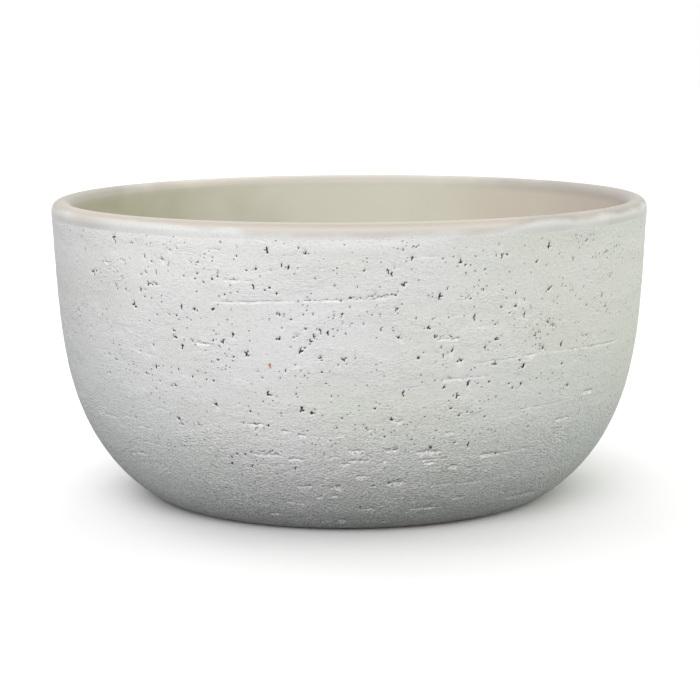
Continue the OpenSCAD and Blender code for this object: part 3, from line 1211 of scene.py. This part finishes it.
cream = Recipe("cream_glaze")
spot = cream.place()
walked = cream.attribute("walk")
pooling = cream.noise(spot, (25, 25, 25))
across = cream.sum(cream.axis(spot, "X"), cream.band(pooling, *NOISE_RANGE, -WANDER, WANDER))
left = cream.band(across, *LEFT_ACROSS)
right = cream.band(across, *RIGHT_ACROSS)
far_side = cream.band(cream.axis(spot, "Y"), *FAR_BACK, 0.2, 1.0)
lip_side = cream.times(cream.sum(cream.times(left, far_side), right), cream.band(walked, *SIDE_WALK))

# %% Slip smeared over the glaze
# Its height in millimetres in front and at both sides, how ragged its edge is, where it rises in
# metres to the right of the middle, and how far it fades across that edge
SMEAR_LOW = 1.7
SMEAR_HIGH = 5.0
SMEAR_RAGGED = 1.2
SMEAR_LEFT = (-0.04, -0.09)
SMEAR_RIGHT = (0.05, 0.10)
SMEAR_EDGE = (1.4, -1.2)

ragged = cream.noise(spot, (45, 45, 90), 4.0)
smear = cream.sum(cream.band(across, *SMEAR_LEFT, SMEAR_LOW, SMEAR_HIGH),
                  cream.band(across, *SMEAR_RIGHT, 0, SMEAR_HIGH - SMEAR_LOW),
                  cream.band(ragged, *NOISE_RANGE, -SMEAR_RAGGED, SMEAR_RAGGED))
above_smear = cream.sum(walked, cream.times(smear, -1))
glaze_crumbs = cream.noise(spot, (1000, 1000, 1400))
smear_colour = cream.paint(SLIP_SMEAR, (
    # Painted shade: the smeared slip is darker at both sides
    (cream.sum(left, right), SMEAR_SIDE_PAINTED_SHADE),
    (cream.band(glaze_crumbs, 0.46, 0.28, 0, 0.35), SMEAR_GREY)))
glaze_colour = cream.paint(GLAZE_CREAM, (
    # Greener on the left and rosier on the right, and darker at both sides as painted shade
    (cream.band(across, *OLIVE_ACROSS), GLAZE_OLIVE_AND_SHADE),
    (cream.band(across, *ROSE_ACROSS), GLAZE_ROSE_AND_SHADE),
    (cream.band(walked, *CROWN_WALK), CROWN_CREAM),
    (cream.band(walked, *NEAR_WALK), NEAR_CREAM),
    (cream.band(walked, *LIP_WALK), LIP_CREAM),
    # Painted shade: the lip is darker at both sides
    (lip_side, LIP_SIDE_PAINTED_SHADE),
    (cream.band(above_smear, *SMEAR_EDGE, 0, 0.95), smear_colour)))
cream.finish({
    "Base Color": glaze_colour, "Roughness": 0.5, "Specular IOR Level": 0.2})

# %% The fired clay
CLAY_BUFF = (0.46, 0.28, 0.18, 1)
CLAY_PALE = (0.56, 0.37, 0.25, 1)
clay_mat = Recipe("fired_clay")
blotch = clay_mat.noise(clay_mat.place(), (40, 40, 40), 3.0)
sand = clay_mat.noise(clay_mat.place(), (900, 900, 900))
clay_mat.finish({
    "Base Color": clay_mat.mix(clay_mat.band(blotch, 0.35, 0.65), CLAY_BUFF, CLAY_PALE),
    "Roughness": 0.85, "Specular IOR Level": 0.3, "Normal": clay_mat.relief(sand, 0.2)})

# %% The felt
FELT_GREY = (0.28, 0.27, 0.25, 1)
FELT_PALE = (0.42, 0.41, 0.38, 1)
felt_mat = Recipe("felt")
fibres = felt_mat.noise(felt_mat.place(), (2600, 2600, 900), 3.0)
felt_mat.finish({
    "Base Color": felt_mat.mix(fibres, FELT_GREY, FELT_PALE),
    "Roughness": 0.95, "Specular IOR Level": 0.2, "Sheen Weight": 0.3,
    "Normal": felt_mat.relief(fibres, 0.3)})

# %% [markdown]
# ## Putting the pieces in the place of the CAD nodes
# Every piece rides on the one body of the object and takes its material, and the CAD node that it
# stands for is hidden.

# %% Riding on the frame
def dress(piece, node, recipe):
    """Give a piece its material and put it in the place of a CAD node."""
    piece.data.materials.append(recipe.owner)
    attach(piece, "root")
    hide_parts(node)


dress(coat_piece, "cement_coat", slip)
dress(glaze_piece, "glaze_lining", cream)
dress(clay_piece, "clay_body", clay_mat)
for pad_piece, node in zip(pad_pieces, pad_nodes):
    dress(pad_piece, node, felt_mat)

# %% [markdown]
# ## The studio
# The photograph was taken on a white sweep that fades out behind the bowl. The floor is a large
# plane. It looks white to the camera, and grey to light that bounces, so that it doesn't brighten
# the bowl's underside more than the photograph shows.

# %% Floor and backdrop
FLOOR_HALF = 6.0
FLOOR_WHITE = (0.93, 0.93, 0.93, 1)
FLOOR_GREY = (0.18, 0.18, 0.18, 1)

floor_skin = bmesh.new()
bmesh.ops.create_grid(floor_skin, x_segments=1, y_segments=1, size=FLOOR_HALF)
floor = finish_mesh(floor_skin, "studio_floor")


def add_seen(recipe):
    """1 for what the camera sees, straight or in a reflection, and 0 for light that bounces."""
    rays = recipe.tree.nodes.new("ShaderNodeLightPath").outputs
    seen = recipe.sum(*(rays[f"Is {kind} Ray"] for kind in ("Camera", "Glossy", "Transmission")))
    return recipe.add("Clamp", {"Value": seen})


floor_mat = Recipe("studio_floor")
floor_mat.finish({
    "Base Color": floor_mat.mix(add_seen(floor_mat), FLOOR_GREY, FLOOR_WHITE),
    "Roughness": 1.0, "Specular IOR Level": 0.0})
floor.data.materials.append(floor_mat.owner)

# %% [markdown]
# Soft light comes from all around, and seven large lamps stand round the bowl, none of them strong.
# Two in front and a little above it make the upper edge of a tear dark. A low one on each side
# lights that flank. The three high ones, behind it and at its left, keep its shadow short.

# %% Lights
WHITE = (1.0, 1.0, 1.0)
LAMP_SPREAD = 50
# Degrees to the right of the camera, degrees up, strength and colour
LAMPS = {
    "key": (-20, 30, 1.23, WHITE),
    "front": (5, 30, 0.97, WHITE),
    "low_left": (-45, 8, 0.17, WHITE),
    "low_right": (105, 8, 1.92, (0.97, 1.0, 0.87)),
    "high_left": (-100, 55, 0.62, WHITE),
    "back_left": (-150, 45, 0.88, WHITE),
    "back_right": (150, 45, 0.80, WHITE)}

for name, (right, up, power, tint) in LAMPS.items():
    lamp = bpy.data.objects.new(name, bpy.data.lights.new(name, "SUN"))
    lamp.data.energy = power
    lamp.data.angle = math.radians(LAMP_SPREAD)
    lamp.data.color = tint
    turn, tilt = math.radians(right), math.radians(up)
    toward = Vector((-math.sin(turn) * math.cos(tilt), math.cos(turn) * math.cos(tilt), -math.sin(tilt)))
    lamp.rotation_mode = "QUATERNION"
    lamp.rotation_quaternion = toward.to_track_quat("-Z", "Y")
    bpy.context.collection.objects.link(lamp)
print(len(LAMPS), "lamps")

# %% World
SKY_LIGHT = 0.367
sky = Recipe("studio", bpy.data.worlds, "Background")
sky.finish({
    "Color": (1, 1, 1, 1), "Strength": sky.band(add_seen(sky), 0, 1, SKY_LIGHT, 1.0)})
bpy.context.scene.world = sky.owner
bpy.context.scene.view_settings.view_transform = "Standard"
